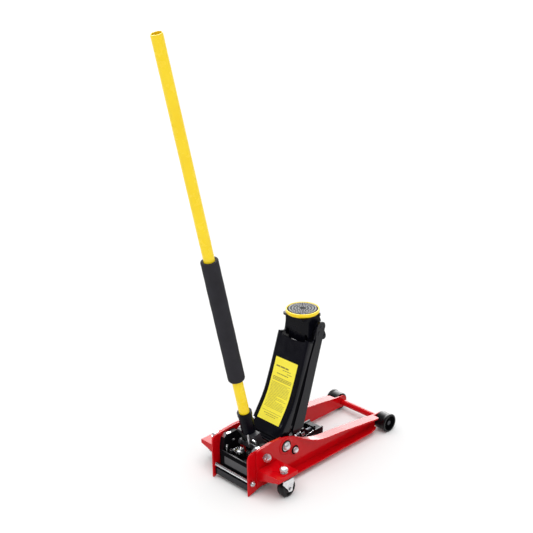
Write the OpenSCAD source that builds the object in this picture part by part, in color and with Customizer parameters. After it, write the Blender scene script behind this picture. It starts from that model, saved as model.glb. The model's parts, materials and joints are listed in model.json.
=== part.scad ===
// Hydraulic trolley jack, arm raised: two pressed side frames on front rollers and
// rear casters, a parallelogram lift arm, a ram unit, a pump yoke and a long handle.
// Millimetres. +X runs from the handle end to the front rollers, +Y is left, +Z is up.
// The origin is on the ground under the middle of the whole envelope.

/* [Chassis] */
// Half distance between the inner faces of the rear plates
plate_in = 81; // [76:0.5:90]
// Thickness of a rear plate
plate_t = 6; // [4:0.5:8]
// Thickness of a pressed side frame
web_t = 5; // [3:0.5:8]
// Half distance to the outer edge of the frame flanges
flange_out = 122; // [110:1:130]
// Height of the underside of the side frames
frame_low = 18; // [12:1:30]
// Ground clearance of the rear plates
plate_low = 1.5; // [1:0.5:12]

/* [Front rollers] */
// Distance of the front axle from the rear edge of the rear plates
axle_x = 638.5; // [600:0.5:680]
// Radius of a roller's tread lip
roller_r = 33; // [28:0.5:40]
// Radius of the front axle
axle_r = 8; // [6:0.5:12]
// Half distance over the outer faces of the rollers
roller_out = 139; // [125:1:150]

/* [Casters] */
// Radius of a caster wheel
caster_r = 31; // [24:0.5:32]
// Distance of the king pin from the rear edge of the rear plates
king_x = 84; // [70:1:110]
// Half distance between the king pins
king_y = 163; // [150:1:165]
// Trail of the caster wheel ahead of the king pin
trail = 10; // [0:1:12]
// Top of the caster brackets
bracket_top = 88; // [80:1:100]
// Half distance over the caster brackets
bracket_out = 184; // [170:1:195]

/* [Lift arm] */
// Pivot distance from the rear edge of the rear plates
pivot_x = 165; // [150:1:180]
// Pivot height
pivot_z = 121; // [110:1:135]
// Tip pin distance with the arm up
tip_x = 345; // [320:1:360]
// Tip pin height with the arm up
tip_z = 457; // [440:1:480]
// Half width of the arm cover
cover_half = 73; // [68:0.5:74]
// Thickness of the cover sheet
cover_t = 5; // [3:0.5:6]
// Radius of the folded long edges of the cover
fold_r = 10; // [6:1:14]
// Thickness of an arm side plate
arm_t = 5.5; // [4:0.5:6]
// Radius of the arm pivot shaft
shaft_r = 12; // [9:0.5:14]
// Distance of the ram lug pin from the arm pivot
lug_r = 66; // [60:1:70]

/* [Saddle] */
// Saddle axis distance with the arm up
saddle_x = 339.5; // [320:0.5:360]
// Radius of the saddle cup
cup_r = 56.7; // [50:0.1:62]
// Height of the saddle's top with the arm up
saddle_top = 528.5; // [500:0.5:540]
// Number of ribs on the pad
rib_count = 5; // [3:1:6]

/* [Handle] */
// Lean of the handle behind the vertical, in degrees
lean = 12.755; // [0:0.005:30]
// Length from the socket mouth to the open end
handle_len = 1268; // [1000:1:1400]
// Outer radius of the lower tube
lower_r = 17.5; // [15:0.1:20]
// Outer radius of the upper tube
upper_r = 17.8; // [15:0.1:20]
// Outer radius of the foam grip
foam_r = 28; // [24:0.5:32]
// Yoke pivot distance from the rear edge of the rear plates
yoke_x = 118; // [105:1:125]
// Yoke pivot height
yoke_z = 112; // [100:1:120]

/* [Hidden] */
$fn = 48;

red = [0.80, 0.05, 0.06];
black = [0.05, 0.05, 0.06];
grey = [0.22, 0.22, 0.24];
zinc = [0.78, 0.79, 0.80];
yellow = [0.98, 0.86, 0.12];
foam_black = [0.14, 0.14, 0.15];

run = 0.06;                       // radial clearance of a running fit
web_in = plate_in + plate_t;      // inner face of the side frame
web_out = web_in + web_t;         // outer face of the side frame
axle_z = roller_r;
arm_ang = atan2(tip_z - pivot_z, tip_x - pivot_x);
anchor_x = pivot_x + 41;          // anchor of the levelling rods
anchor_z = pivot_z - 30;
link_x = tip_x + 41;              // the same step at the saddle bracket
link_z = tip_z - 30;
anchor_r = 6;
socket_x = 69;                    // socket mouth on the handle axis
socket_z = 250;
ram_z = 58;                       // height of the ram axis
lug_up = -53.75;                  // direction of the lug pin with the arm up
lug_x = pivot_x + lug_r * cos(lug_up);
lug_z = pivot_z + lug_r * sin(lug_up);
cross_x = 380;                    // rear face of the crosshead
unit_x0 = 24;                     // power unit, rear and front faces
unit_x1 = 104;
cyl_rear = 100;                   // rear end of the ram cylinder, inside the unit
unit_top = 78;
pump_x = 88;
cam_x = 86;
cam_z = 120;
cam_r = 9;
seat_z = 66;                      // seat of the pump spring
pin_r = 8;                        // tip pin and yoke pin
upper_s = 623;                    // start of the upper tube along the handle
back_x = socket_x - handle_len * sin(lean) - upper_r * cos(lean);
rear_x = -(back_x + axle_x + roller_r) / 2;

// Moves chassis coordinates, measured from the rear plates, to the object's origin.
module chassis() {
    translate([rear_x, 0, 0]) children();
}

// Extrudes a shape drawn in X and Z from y0 to y1.
module slab(y0, y1) {
    translate([0, y1, 0])
        rotate([90, 0, 0])
            linear_extrude(y1 - y0) children();
}

// Draws on the left as given, and mirrored on the right.
module hand(left) {
    if (left) children();
    else mirror([0, 1, 0]) children();
}

// A round bar along Y.
module cross_bar(x, z, r, y0, y1) {
    slab(y0, y1)
        translate([x, z]) circle(r);
}

// A flat bar drawn in X and Z with round ends.
module link_shape(a, b, w) {
    d = b - a;
    translate(a) circle(w / 2);
    translate(b) circle(w / 2);
    translate(a)
        rotate(atan2(d[1], d[0]))
            translate([0, -w / 2]) square([norm(d), w]);
}

// Handle coordinates: z runs up the handle from the socket mouth.
module along_handle() {
    translate([socket_x, 0, socket_z])
        rotate([0, -lean, 0]) children();
}

// ---------------------------------------------------------------- side frames

frame_top = [[213, 137], [226, 129.5], [240, 122.5], [256, 115.5], [273, 109.5],
    [291, 104], [310, 100], [335, 96.5], [369, 93], [403, 89.5], [437, 85], [471, 80],
    [505, 75.5], [541, 71], [572, 66.5], [603, 62]];
hump = [[33, 152.5], [62, 157], [97, 160], [125, 159.5], [143, 158], [162, 155],
    [179, 150.5], [196, 144.5]];

module web_shape() {
    polygon(concat([[33, 26], [60, 20], [150, frame_low], [axle_x - 8, frame_low - 3],
        [axle_x - 8, 59]], [for (i = [len(frame_top) - 1:-1:0]) frame_top[i]],
        [for (i = [len(hump) - 1:-1:0]) hump[i]]));
    translate([axle_x - 1, 36]) circle(23);
}

// A strip of sheet thickness that follows the top edge of the web.
module top_strip() {
    polygon(concat(frame_top,
        [for (i = [len(frame_top) - 1:-1:0]) frame_top[i] - [0, web_t]]));
}

module side_frame(left) {
    color(red) chassis() hand(left)
        difference() {
            union() {
                slab(web_in, web_out) web_shape();
                intersection() {
                    slab(web_in, flange_out) top_strip();
                    linear_extrude(200)
                        polygon([[200, web_in], [200, web_out], [222, web_out + 5],
                            [262, flange_out - 8], [300, flange_out],
                            [590, flange_out], [599, flange_out - 3],
                            [602, flange_out - 10], [602, web_in]]);
                }
                translate([130, web_in, frame_low])
                    linear_extrude(web_t)
                        polygon([[0, 0], [0, flange_out - web_in - 4],
                            [8, flange_out - web_in], [430, flange_out - web_in],
                            [455, 29], [469, 22], [469, 0]]);
            }
            cross_bar(pivot_x, pivot_z, shaft_r + run, 0, 150);
            cross_bar(anchor_x, anchor_z, anchor_r + run, 0, 150);
            cross_bar(unit_bolt[0], unit_bolt[1], unit_bolt_r + run, 0, 150);
            cross_bar(axle_x, axle_z, axle_r + run, 0, 150);
        }
}

// ---------------------------------------------------------------- rear plates

unit_bolt = [72, 119];
unit_bolt_r = 6;
tie_x = 14;
tie_z = 46;
tie_r = 6;
plate_edge = [[0, plate_low], [80, 22], [152, 24], [152, 128], [150, 157], [97, 160],
    [62, 157], [33, 154], [20, 153], [12, 150], [6, 145], [2, 138], [0, 130]];

module rear_plate(left) {
    color(red) chassis() hand(left)
        difference() {
            slab(plate_in, web_in) polygon(plate_edge);
            cross_bar(pivot_x, pivot_z, 34, 0, 150);
            cross_bar(unit_bolt[0], unit_bolt[1], unit_bolt_r + run, 0, 150);
            cross_bar(tie_x, tie_z, tie_r + run, 0, 150);
        }
}

// ------------------------------------------------------------ caster brackets

wall_t = 4;
br_x0 = 38;                       // rear and front of a bracket
br_x1 = 126;

// The folded box in Y and Z: deep at the frame, shallow at the outer lip.
module bracket_shape() {
    polygon([[web_out, 47], [web_out, bracket_top], [bracket_out, bracket_top],
        [bracket_out, 73], [bracket_out - 12, 70]]);
}

module caster_bracket(left) {
    color(red) chassis() hand(left)
        difference() {
            translate([br_x0, 0, 0])
                rotate([90, 0, 90])
                    linear_extrude(br_x1 - br_x0) bracket_shape();
            translate([br_x0 + wall_t, -wall_t, -wall_t - 40])
                cube([br_x1 - br_x0 - 2 * wall_t, bracket_out, bracket_top + 40]);
            translate([king_x, king_y, bracket_top - 10]) cylinder(r = 6 + run, h = 20);
        }
}

module king_pins() {
    color(zinc) chassis()
        for (left = [true, false])
            hand(left)
                translate([king_x, king_y, 0]) {
                    translate([0, 0, 65]) cylinder(r = 6, h = bracket_top + 4 - 65);
                    translate([0, 0, bracket_top]) cylinder(r = 12.5, h = 2);
                    translate([0, 0, bracket_top + 2]) cylinder(r = 10.5, h = 7, $fn = 6);
                    translate([0, 0, 63]) cylinder(r = 9, h = 2.9, $fn = 6);
                }
}

fork_top = 69;                    // top of the swivel plate

// Places a caster part under its king pin. The left caster has swung round.
module at_king(left) {
    chassis() hand(left)
        translate([king_x, king_y, 0])
            rotate([0, 0, left ? 45 : 0]) children();
}

module caster_fork(left) {
    color(zinc) at_king(left)
        difference() {
            union() {
                translate([0, 0, fork_top - 3]) cylinder(r = 21, h = 3);
                translate([0, 0, fork_top - 1]) cylinder(r = 16, h = 15.6);
                translate([-18, -19, fork_top - 3]) cube([38, 38, 3]);
                for (y = [-19.5, 16.5])
                    slab(y, y + 3)
                        polygon([[-19, fork_top - 1], [25, fork_top - 1],
                            [27, fork_top - 12], [trail + 10, 32], [trail + 7, 24],
                            [trail, 21], [trail - 7, 24], [trail - 10, 32],
                            [-21, fork_top - 12]]);
            }
            translate([0, 0, 60]) cylinder(r = 6 + run, h = 40);
            slab(-30, 30) translate([trail, caster_r]) circle(4 + run);
        }
}

module caster_wheel(left) {
    color(black) at_king(left)
        translate([trail, 0, caster_r])
            rotate([90, 0, 0])
                difference() {
                    union() {
                        rotate_extrude()
                            polygon([[0, -13.5], [25, -13.5], [29, -12], [caster_r, -8],
                                [caster_r, 8], [29, 12], [25, 13.5], [0, 13.5]]);
                        cylinder(r = 8, h = 32, center = true);
                    }
                    cylinder(r = 4 + run, h = 60, center = true);
                    for (s = [-1, 1])
                        translate([0, 0, s * 13.5])
                            rotate_extrude()
                                polygon([[11, -3], [21, -3], [21, 3], [11, 3]]);
                }
}

module caster_axle(left) {
    color(zinc) at_king(left)
        translate([trail, 0, caster_r])
            rotate([90, 0, 0]) {
                cylinder(r = 4, h = 46, center = true);
                translate([0, 0, 19.5]) cylinder(r = 6.5, h = 4, $fn = 6);
                translate([0, 0, -23.5]) cylinder(r = 6.5, h = 4, $fn = 6);
            }
}

// -------------------------------------------------------------- front rollers

tube_r = 11;                      // painted tube between the frames

module front_cross_tube() {
    color(red) chassis()
        difference() {
            cross_bar(axle_x, axle_z, tube_r, -web_in, web_in);
            cross_bar(axle_x, axle_z, axle_r + run, -150, 150);
        }
}

module front_axle() {
    color(grey) chassis() cross_bar(axle_x, axle_z, axle_r, -135, 135);
}

module axle_retainers() {
    color(zinc) chassis()
        for (left = [true, false])
            hand(left)
                difference() {
                    cross_bar(axle_x, axle_z, 12.5, 125.4, 129);
                    cross_bar(axle_x, axle_z, axle_r, 120, 140);
                }
}

module front_roller(left) {
    color(black) chassis() hand(left)
        translate([axle_x, 0, axle_z])
            rotate([-90, 0, 0])
                difference() {
                    rotate_extrude()
                        polygon([[axle_r + run, 93], [28, 93], [30.6, 95], [30.6, 127],
                            [roller_r - 0.6, 130.5], [roller_r, 132],
                            [roller_r, roller_out - 2], [roller_r - 2, roller_out],
                            [26.5, roller_out], [25, 121], [14, 119.5], [13, 125],
                            [axle_r + run, 125]]);
                }
}

// ----------------------------------------------------------- rear cross parts

module rear_tie_rod() {
    color(zinc) chassis() cross_bar(tie_x, tie_z, tie_r, -plate_in - 14, plate_in + 14);
}

module tie_rod_nuts() {
    color(zinc) chassis()
        for (left = [true, false])
            hand(left)
                difference() {
                    union() {
                        slab(web_in, web_in + 6)
                            translate([tie_x, tie_z]) circle(r = 10, $fn = 6);
                        translate([tie_x, web_in + 6, tie_z])
                            rotate([-90, 0, 0]) cylinder(r1 = 8, r2 = 6.5, h = 4.5);
                    }
                    cross_bar(tie_x, tie_z, tie_r, 0, plate_in + 14);
                }
}

module rear_cross_bar() {
    color(black) chassis()
        slab(-plate_in, plate_in)
            polygon([[8, 14], [34, 20], [34, 26], [14, 21], [14, 36], [8, 36]]);
}

// ----------------------------------------------------------------- power unit

ear_in = 62;                      // inner face of an ear of the casting

module ear_shape() {
    polygon([[30, 40], [unit_x1, 40], [unit_x1, 97], [yoke_x, 99], [yoke_x + 6, 124],
        [108, 131], [96, 148], [86, 151], [48, 149], [36, 138], [30, 110]]);
    translate([yoke_x, yoke_z]) circle(13);
}

module power_unit() {
    color(black) chassis()
        difference() {
            union() {
                slab(-60, 60)
                    polygon([[unit_x0, 34], [unit_x1, 30], [unit_x1, unit_top - 6],
                        [unit_x1 - 6, unit_top], [unit_x0, unit_top]]);
                for (left = [true, false])
                    hand(left) {
                        slab(ear_in, plate_in) ear_shape();
                        slab(55, 66)
                            polygon([[34, 44], [98, 44], [98, 72], [34, 72]]);
                    }
                translate([pump_x, 0, 60]) cylinder(r = 20, h = 24);
                translate([gear_at[0], gear_at[1], 60]) cylinder(r = 9, h = 31);
                translate([44, -34, 60]) cylinder(r = 13, h = 30);
                translate([64, -42, 60]) cylinder(r = 10, h = 46);
                translate([48, 44, 60]) cylinder(r = 9, h = 34);
            }
            cross_bar(unit_bolt[0], unit_bolt[1], unit_bolt_r + run, -150, 150);
            cross_bar(yoke_x, yoke_z, pin_r + run, -150, 150);
            translate([pump_x, 0, seat_z]) cylinder(r = 13.5, h = 40);
            translate([pump_x, 0, 42]) cylinder(r = 6 + run, h = 40);
            translate([gear_at[0], gear_at[1], 70]) cylinder(r = 4 + run, h = 40);
            for (p = plug_at)
                translate(p - [0, 0, 12]) cylinder(r = 4, h = 40);
            translate([cyl_rear, 0, ram_z]) rotate([0, 90, 0]) cylinder(r = 23, h = 20);
        }
}

module rear_panel() {
    color(grey) chassis()
        translate([unit_x0 - 5, -60, 56]) cube([5, 120, 48]);
}

module unit_bolts() {
    color(zinc) chassis()
        for (left = [true, false])
            hand(left) {
                cross_bar(unit_bolt[0], unit_bolt[1], unit_bolt_r, ear_in + 3, web_out);
                cross_bar(unit_bolt[0], unit_bolt[1], 12.5, web_out, web_out + 2);
                slab(web_out + 2, web_out + 7)
                    translate(unit_bolt) circle(r = 11.2, $fn = 6);
                translate([unit_bolt[0], web_out + 7, unit_bolt[1]])
                    rotate([-90, 0, 0]) cylinder(r1 = 9.4, r2 = 6.5, h = 3);
            }
}

plug_at = [[48, 44, 94], [64, -42, 106]];

module unit_plugs() {
    color(zinc) chassis()
        for (p = plug_at)
            translate(p) {
                translate([0, 0, -10]) cylinder(r = 4, h = 11);
                cylinder(r = 7.5, h = 6, $fn = 6);
                translate([0, 0, 5]) cylinder(r = 4.5, h = 4);
            }
}

module yoke_pin() {
    color(zinc) chassis() cross_bar(yoke_x, yoke_z, pin_r, -plate_in, plate_in);
}

cyl_front = 288;

module ram_cylinder() {
    color(black) chassis()
        translate([cyl_rear, 0, ram_z])
            rotate([0, 90, 0])
                difference() {
                    cylinder(r = 23, h = cyl_front - cyl_rear);
                    translate([0, 0, 12]) cylinder(r = 17, h = 300);
                }
}

module gland_nut() {
    color(zinc) chassis()
        translate([cyl_front, 0, ram_z])
            rotate([0, 90, 0])
                difference() {
                    union() {
                        cylinder(r = 21, h = 7, $fn = 8);
                        translate([0, 0, -14]) cylinder(r = 17, h = 14);
                    }
                    translate([0, 0, -20]) cylinder(r = 11 + run, h = 40);
                }
}

module ram_rod() {
    color(zinc) chassis()
        translate([cyl_front - 34, 0, ram_z])
            rotate([0, 90, 0]) {
                cylinder(r = 11, h = cross_x + 12 - cyl_front + 34);
                cylinder(r = 17 - run, h = 16);
            }
}

// ------------------------------------------------------ crosshead, pull bars

bar_in = 27;                      // inner face of a pull bar
bar_out = 33;

module crosshead() {
    color(black) chassis()
        difference() {
            translate([cross_x, -bar_in, ram_z - 15]) cube([20, 2 * bar_in, 30]);
            translate([cross_x - 1, 0, ram_z])
                rotate([0, 90, 0]) cylinder(r = 11, h = 13);
        }
}

// The rear eye is a tall slot, so the lug pin can rise and fall as it swings.
module pull_bar(left) {
    color(black) chassis() hand(left)
        slab(bar_in, bar_out)
            difference() {
                union() {
                    polygon([[lug_x, ram_z - 8], [cross_x + 24, ram_z - 8],
                        [cross_x + 24, ram_z + 9], [lug_x, ram_z + 9]]);
                    polygon([[lug_x - 14, 42], [lug_x + 14, 42], [lug_x + 22, 54],
                        [lug_x + 22, 70], [lug_x + 14, 82], [lug_x - 14, 82]]);
                }
                translate([lug_x - lug_pin - 1.6, 47])
                    square([2 * lug_pin + 3.2, 30.5]);
            }
}

// ------------------------------------------------------------------- lift arm

lug_pin = 6;
back_face = [[152, 141], [158, 150], [172, 171], [196, 206], [211, 229], [223, 251],
    [232, 272], [249, 316], [267, 366], [294, 444.75]];
rib_low = [217, 145];             // rear edge of the rib, at the base
rib_way = [0.3719, 0.9283];       // its direction up the arm
groove_w = 18;                    // between the cover's flange and the rib

// Unit direction of one stretch of the back face, and its normal into the arm.
function way(i) = let (d = back_face[i + 1] - back_face[i]) d / norm(d);
function inward(i) = let (w = way(i)) [w[1], -w[0]];

// The mitred normal at a corner of the back face, scaled so widths are kept.
function mitre(i) =
    let (n = len(back_face) - 1)
    i == 0 ? inward(0) : i == n ? inward(n - 1) :
    let (s = inward(i - 1) + inward(i)) s * 2 / (s * s);

// Depth of the cover's side flange, which ends on a straight line by the rib.
function flange_d(i) =
    let (g = rib_low - groove_w * [rib_way[1], -rib_way[0]] - back_face[i], m = mitre(i))
    (g[0] * rib_way[1] - g[1] * rib_way[0]) / (m[0] * rib_way[1] - m[1] * rib_way[0]);

// Half of the folded section as [y, depth], from the middle outwards and back.
// A depth below zero stands for the flange's own depth.
fold_steps = 4;
outer_half = concat([[cover_half - fold_r, 0]],
    [for (k = [1:fold_steps])
        let (a = 90 * k / fold_steps)
        [cover_half - fold_r + fold_r * sin(a), fold_r - fold_r * cos(a)]],
    [[cover_half, -1]]);
inner_r = fold_r - cover_t;
inner_half = concat([[cover_half - cover_t, -1]],
    [for (k = [fold_steps:-1:0])
        let (a = 90 * k / fold_steps)
        [cover_half - fold_r + inner_r * sin(a), fold_r - inner_r * cos(a)]]);
half_section = concat(outer_half, inner_half);
section = concat(half_section,
    [for (i = [len(half_section) - 1:-1:0])
        [-half_section[i][0], half_section[i][1]]]);

// A section swept along the back face, as one closed skin of triangles.
module folded_cover() {
    m = len(section);
    n = len(back_face);
    points = [for (i = [0:n - 1], p = section)
        let (d = p[1] < 0 ? flange_d(i) : p[1])
        [back_face[i][0] + mitre(i)[0] * d, p[0], back_face[i][1] + mitre(i)[1] * d]];
    sides = [for (i = [0:n - 2], j = [0:m - 1])
        let (a = i * m + j, b = i * m + (j + 1) % m)
        for (t = [[a, b, b + m], [a, b + m, a + m]]) t];
    h = len(half_section);
    o = len(outer_half);
    strips = [for (j = [0:o - 2]) [j, j + 1, h - 2 - j, h - 1 - j]];
    caps = concat(strips, [for (q = strips) [m - 1 - q[0], m - 1 - q[3], m - 1 - q[2],
        m - 1 - q[1]]], [[0, h - 1, h, m - 1]]);
    polyhedron(points, concat(sides, [for (q = caps) for (t = [[q[0], q[2], q[1]],
        [q[0], q[3], q[2]]]) t], [for (q = caps) for (t = [[q[0], q[1], q[2]],
        [q[0], q[2], q[3]]]) [for (v = t) v + (n - 1) * m]]));
}

// The cut that leaves a rounded ear at each side of the cover's upper end, as
// [height above the end, y], with a shallow sag between the ears.
ear_cut = [[3, 58], [-1, 57], [-4, 55.5], [-7, 54], [-8.6, 51], [-9.6, 45], [-10.8, 36],
    [-11.9, 25], [-12.7, 13], [-13, 0]];
corner_cut = concat([for (k = [0:6]) [-8 + 8 * sin(15 * k), 65 + 8 * cos(15 * k)]],
    [[3, 65], [3, 78], [-8, 78]]);

module arm_cover() {
    color(black) chassis()
        difference() {
            folded_cover();
            translate([back_face[9][0], 0, back_face[9][1]])
                rotate([0, -71, 0])
                    for (left = [true, false])
                        hand(left) {
                            translate([0, 0, -12])
                                linear_extrude(24) polygon(concat(ear_cut, [[3, 0]]));
                            translate([0, 0, -60]) linear_extrude(72) polygon(corner_cut);
                        }
            cross_bar(pivot_x, pivot_z, tube_out + 0.3, -100, 100);
            for (left = [true, false])
                hand(left) {
                    cross_bar(pivot_x, pivot_z, 26, side_in - 0.1, 100);
                    slab(side_in - 0.1, 100) anchor_notch();
                }
        }
}

tube_out = 17;                    // outer radius of the pivot tube
side_in = cover_half - cover_t - arm_t;
side_out = cover_half - cover_t;
rib_t = 4;
ear = [353, 477];                 // centre of the round upper end
ear_r = 19;
rib_front = [[372, 476], [320, 311], [268, 146]];
notch_r = norm([anchor_x - pivot_x, anchor_z - pivot_z]);
notch_end = arm_ang - 25.9;       // where the anchor stands with the arm down

// Clears the anchor bolt as the arm swings about its pivot.
module anchor_notch() {
    w = anchor_r + 3;
    translate([pivot_x, pivot_z]) {
        difference() {
            intersection() {
                circle(notch_r + w);
                polygon([[0, 0], 140 * [cos(notch_end), sin(notch_end)], [140, -40],
                    [60, -140], [-140, -140]]);
            }
            circle(notch_r - w);
        }
        translate(notch_r * [cos(notch_end), sin(notch_end)]) circle(w);
    }
}

module arm_plate_shape() {
    difference() {
        union() {
            translate([pivot_x, pivot_z]) circle(25);
            translate(ear) circle(ear_r);
            polygon(concat([[pivot_x - 5, pivot_z + 22], [182, 164], [206, 199],
                [221, 222], [233.5, 245], [243, 267], [260, 312], [278.3, 362],
                [302.5, 430], [326, 440], [ear[0] - ear_r, ear[1]]], rib_front,
                [[264, 140], [256, 138], [212, 118], [pivot_x + 6, pivot_z - 24]]));
        }
        anchor_notch();
    }
}

// The raised rib along the front edge of a side plate.
module rib_shape() {
    translate(ear) circle(ear_r);
    polygon(concat([rib_low, rib_low + 139 * rib_way, [300, 374], [327, 439],
        [ear[0] - ear_r, ear[1]]], rib_front, [[264, 140], [256, 139], [212, 139]]));
}

module arm_side(left) {
    color(black) chassis() hand(left)
        difference() {
            union() {
                slab(side_in, side_out) arm_plate_shape();
                slab(side_out - 1, side_out + rib_t)
                    difference() {
                        rib_shape();
                        anchor_notch();
                    }
            }
            cross_bar(pivot_x, pivot_z, shaft_r + run, 0, 150);
            cross_bar(tip_x, tip_z, pin_r + run, 0, 150);
        }
}

// A printed plate bent over the lower half of the back face.
module arm_label() {
    t = 0.8;
    line = [[173, 172.6], [196, 206], [211, 229], [223, 251], [232, 272], [249, 316],
        [266, 363.5]];
    color(yellow) chassis()
        slab(-50, 50)
            polygon(concat(line,
                [for (i = [len(line) - 1:-1:0]) line[i] - t * [0.93, -0.42]]));
}

// The tube on the pivot shaft, with the two welded lugs that the ram pulls on.
module pivot_tube() {
    color(black) chassis()
        difference() {
            union() {
                cross_bar(pivot_x, pivot_z, tube_out, -side_in, side_in);
                for (left = [true, false])
                    hand(left) {
                        slab(44, 52) link_shape([pivot_x, pivot_z], [lug_x, lug_z], 16);
                        cross_bar(lug_x, lug_z, lug_pin, bar_in - 1, 45);
                    }
            }
            cross_bar(pivot_x, pivot_z, shaft_r + run, -150, 150);
        }
}

module tip_pin() {
    color(black) chassis() cross_bar(tip_x, tip_z, pin_r, -side_out - 5, side_out + 5);
}

module tip_spacers() {
    color(grey) chassis()
        for (left = [true, false])
            hand(left)
                difference() {
                    cross_bar(tip_x, tip_z, 10.8, cheek_out + 0.6, side_in);
                    cross_bar(tip_x, tip_z, pin_r, 30, 80);
                }
}

module arm_pivot_shaft() {
    color(zinc) chassis() cross_bar(pivot_x, pivot_z, shaft_r, -web_out, web_out);
}

module pivot_nuts() {
    color(zinc) chassis()
        for (left = [true, false])
            hand(left) {
                cross_bar(pivot_x, pivot_z, 16, web_out, web_out + 3);
                slab(web_out + 3, web_out + 9)
                    translate([pivot_x, pivot_z]) circle(r = 13, $fn = 6);
                translate([pivot_x, web_out + 9, pivot_z])
                    rotate([-90, 0, 0]) cylinder(r1 = 10.5, r2 = 8, h = 3);
            }
}

module pivot_spacers() {
    color(grey) chassis()
        for (left = [true, false])
            hand(left)
                difference() {
                    cross_bar(pivot_x, pivot_z, 16.5, side_out + 0.2, web_in);
                    cross_bar(pivot_x, pivot_z, shaft_r, 0, 150);
                }
}

// ------------------------------------------------------------- levelling rods

rod_in = 38;
rod_t = 5;

module level_rod(left) {
    color(grey) chassis() hand(left)
        difference() {
            slab(rod_in, rod_in + rod_t)
                link_shape([anchor_x, anchor_z], [link_x, link_z], 17);
            cross_bar(anchor_x, anchor_z, 5 + run, 0, 150);
            cross_bar(link_x, link_z, 5.3, 0, 150);
        }
}

module anchor_bolts() {
    color(zinc) chassis()
        for (left = [true, false])
            hand(left) {
                cross_bar(anchor_x, anchor_z, 5, rod_in - 2, rod_in + rod_t + 2);
                cross_bar(anchor_x, anchor_z, anchor_r, rod_in + rod_t + 1, web_out);
                cross_bar(anchor_x, anchor_z, 12, web_out, web_out + 2);
                slab(web_out + 2, web_out + 8)
                    translate([anchor_x, anchor_z]) circle(r = 10.5, $fn = 6);
                cross_bar(anchor_x, anchor_z, 6, web_out + 8, web_out + 11);
            }
}

// --------------------------------------------------------------------- saddle

cheek_in = 46;
cheek_out = 52;
deck_z = 506;                     // underside of the bracket's deck
deck_t = 7;
deck_rear = saddle_x - 45;
deck_front = saddle_x + 38;
back_wall = tip_x - 33;           // rear face of the bracket's back wall

tray = 36.5;                      // half width of the fold between the rods
deck_r = 12;                      // rounded corners of the deck

module deck_shape() {
    long = deck_front - deck_rear;
    translate([deck_rear, deck_r - cheek_out]) square([long, 2 * (cheek_out - deck_r)]);
    translate([deck_rear + deck_r, -cheek_out])
        square([long - 2 * deck_r, 2 * cheek_out]);
    for (x = [deck_rear + deck_r, deck_front - deck_r], y = deck_r - cheek_out)
        for (side = [1, -1])
            translate([x, side * y]) circle(deck_r);
}

module saddle_bracket() {
    color(black) chassis()
        difference() {
            union() {
                translate([0, 0, deck_z]) linear_extrude(deck_t) deck_shape();
                for (left = [true, false])
                    hand(left)
                        slab(cheek_in, cheek_out) {
                            polygon([[back_wall, deck_z + 1], [back_wall, tip_z - 27],
                                [tip_x - 27, tip_z - 32], [tip_x + 8, tip_z - 34],
                                [link_x - 8, link_z - 8], [link_x + 6, link_z - 8],
                                [link_x + 10, link_z + 4],
                                [deck_front - deck_r, deck_z + 1]]);
                            translate([link_x, link_z]) circle(10);
                            translate([tip_x, tip_z]) circle(16);
                        }
                translate([back_wall, 0, 0])
                    rotate([90, 0, 90])
                        linear_extrude(5)
                            polygon([[-cheek_in - 1, tip_z - 4], [-tray, tip_z - 4],
                                [-tray, tip_z - 36], [tray, tip_z - 36], [tray, tip_z - 4],
                                [cheek_in + 1, tip_z - 4], [cheek_in + 1, deck_z + 1],
                                [-cheek_in - 1, deck_z + 1]]);
                slab(-tray, tray)
                    polygon([[back_wall, tip_z - 30], [back_wall, tip_z - 37],
                        [tip_x - 2, tip_z - 37], [tip_x - 2, tip_z - 12],
                        [tip_x - 6, tip_z - 12], [tip_x - 6, tip_z - 33],
                        [back_wall + 5, tip_z - 33], [back_wall + 5, tip_z - 30]]);
            }
            cross_bar(tip_x, tip_z, pin_r + run, -150, 150);
            cross_bar(link_x, link_z, 5, -150, 150);
            translate([saddle_x, 0, deck_z - 5]) cylinder(r = 12 + run, h = 20);
        }
}

module link_pin() {
    color(black) chassis() cross_bar(link_x, link_z, 5, -cheek_out - 2, cheek_out + 2);
}

cup_low = deck_z + deck_t + 0.1;

module saddle_cup() {
    color(yellow) chassis()
        translate([saddle_x, 0, 0])
            rotate_extrude($fn = 96)
                polygon([[0, deck_z - 14], [12, deck_z - 14], [12, cup_low],
                    [cup_r - 7, cup_low], [cup_r - 3, cup_low + 2], [cup_r, cup_low + 6],
                    [cup_r, saddle_top - 1.5], [cup_r - 1.5, saddle_top - 0.4],
                    [cup_r - 4.5, saddle_top - 0.4], [cup_r - 5.5, saddle_top - 2],
                    [cup_r - 5.5, cup_low + 4], [0, cup_low + 4]]);
}

module saddle_pad() {
    pad_r = cup_r - 5.7;
    base = saddle_top - 3;
    color(foam_black) chassis()
        translate([saddle_x, 0, 0]) {
            translate([0, 0, cup_low + 4])
                cylinder(r = pad_r, h = base - cup_low - 4, $fn = 96);
            translate([0, 0, base - 1]) cylinder(r = 9, h = saddle_top - base + 1);
            for (i = [1:rib_count])
                translate([0, 0, base - 1])
                    difference() {
                        cylinder(r = 9 + i * 8.2, h = saddle_top - base + 1, $fn = 96);
                        translate([0, 0, -1]) cylinder(r = 4.6 + i * 8.2, h = 9, $fn = 96);
                    }
        }
}

// --------------------------------------------------------- handle, yoke, pump

leg_in = 30;
leg_out = 41;
crotch = [socket_x + 84 * sin(lean), socket_z - 84 * cos(lean)];

// Corners of a straight strip from a to b, of half width w.
function strip(a, b, w) =
    let (d = (b - a) / norm(b - a), n = w * [-d[1], d[0]])
    [a + n, b + n, b - n, a - n];

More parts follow.
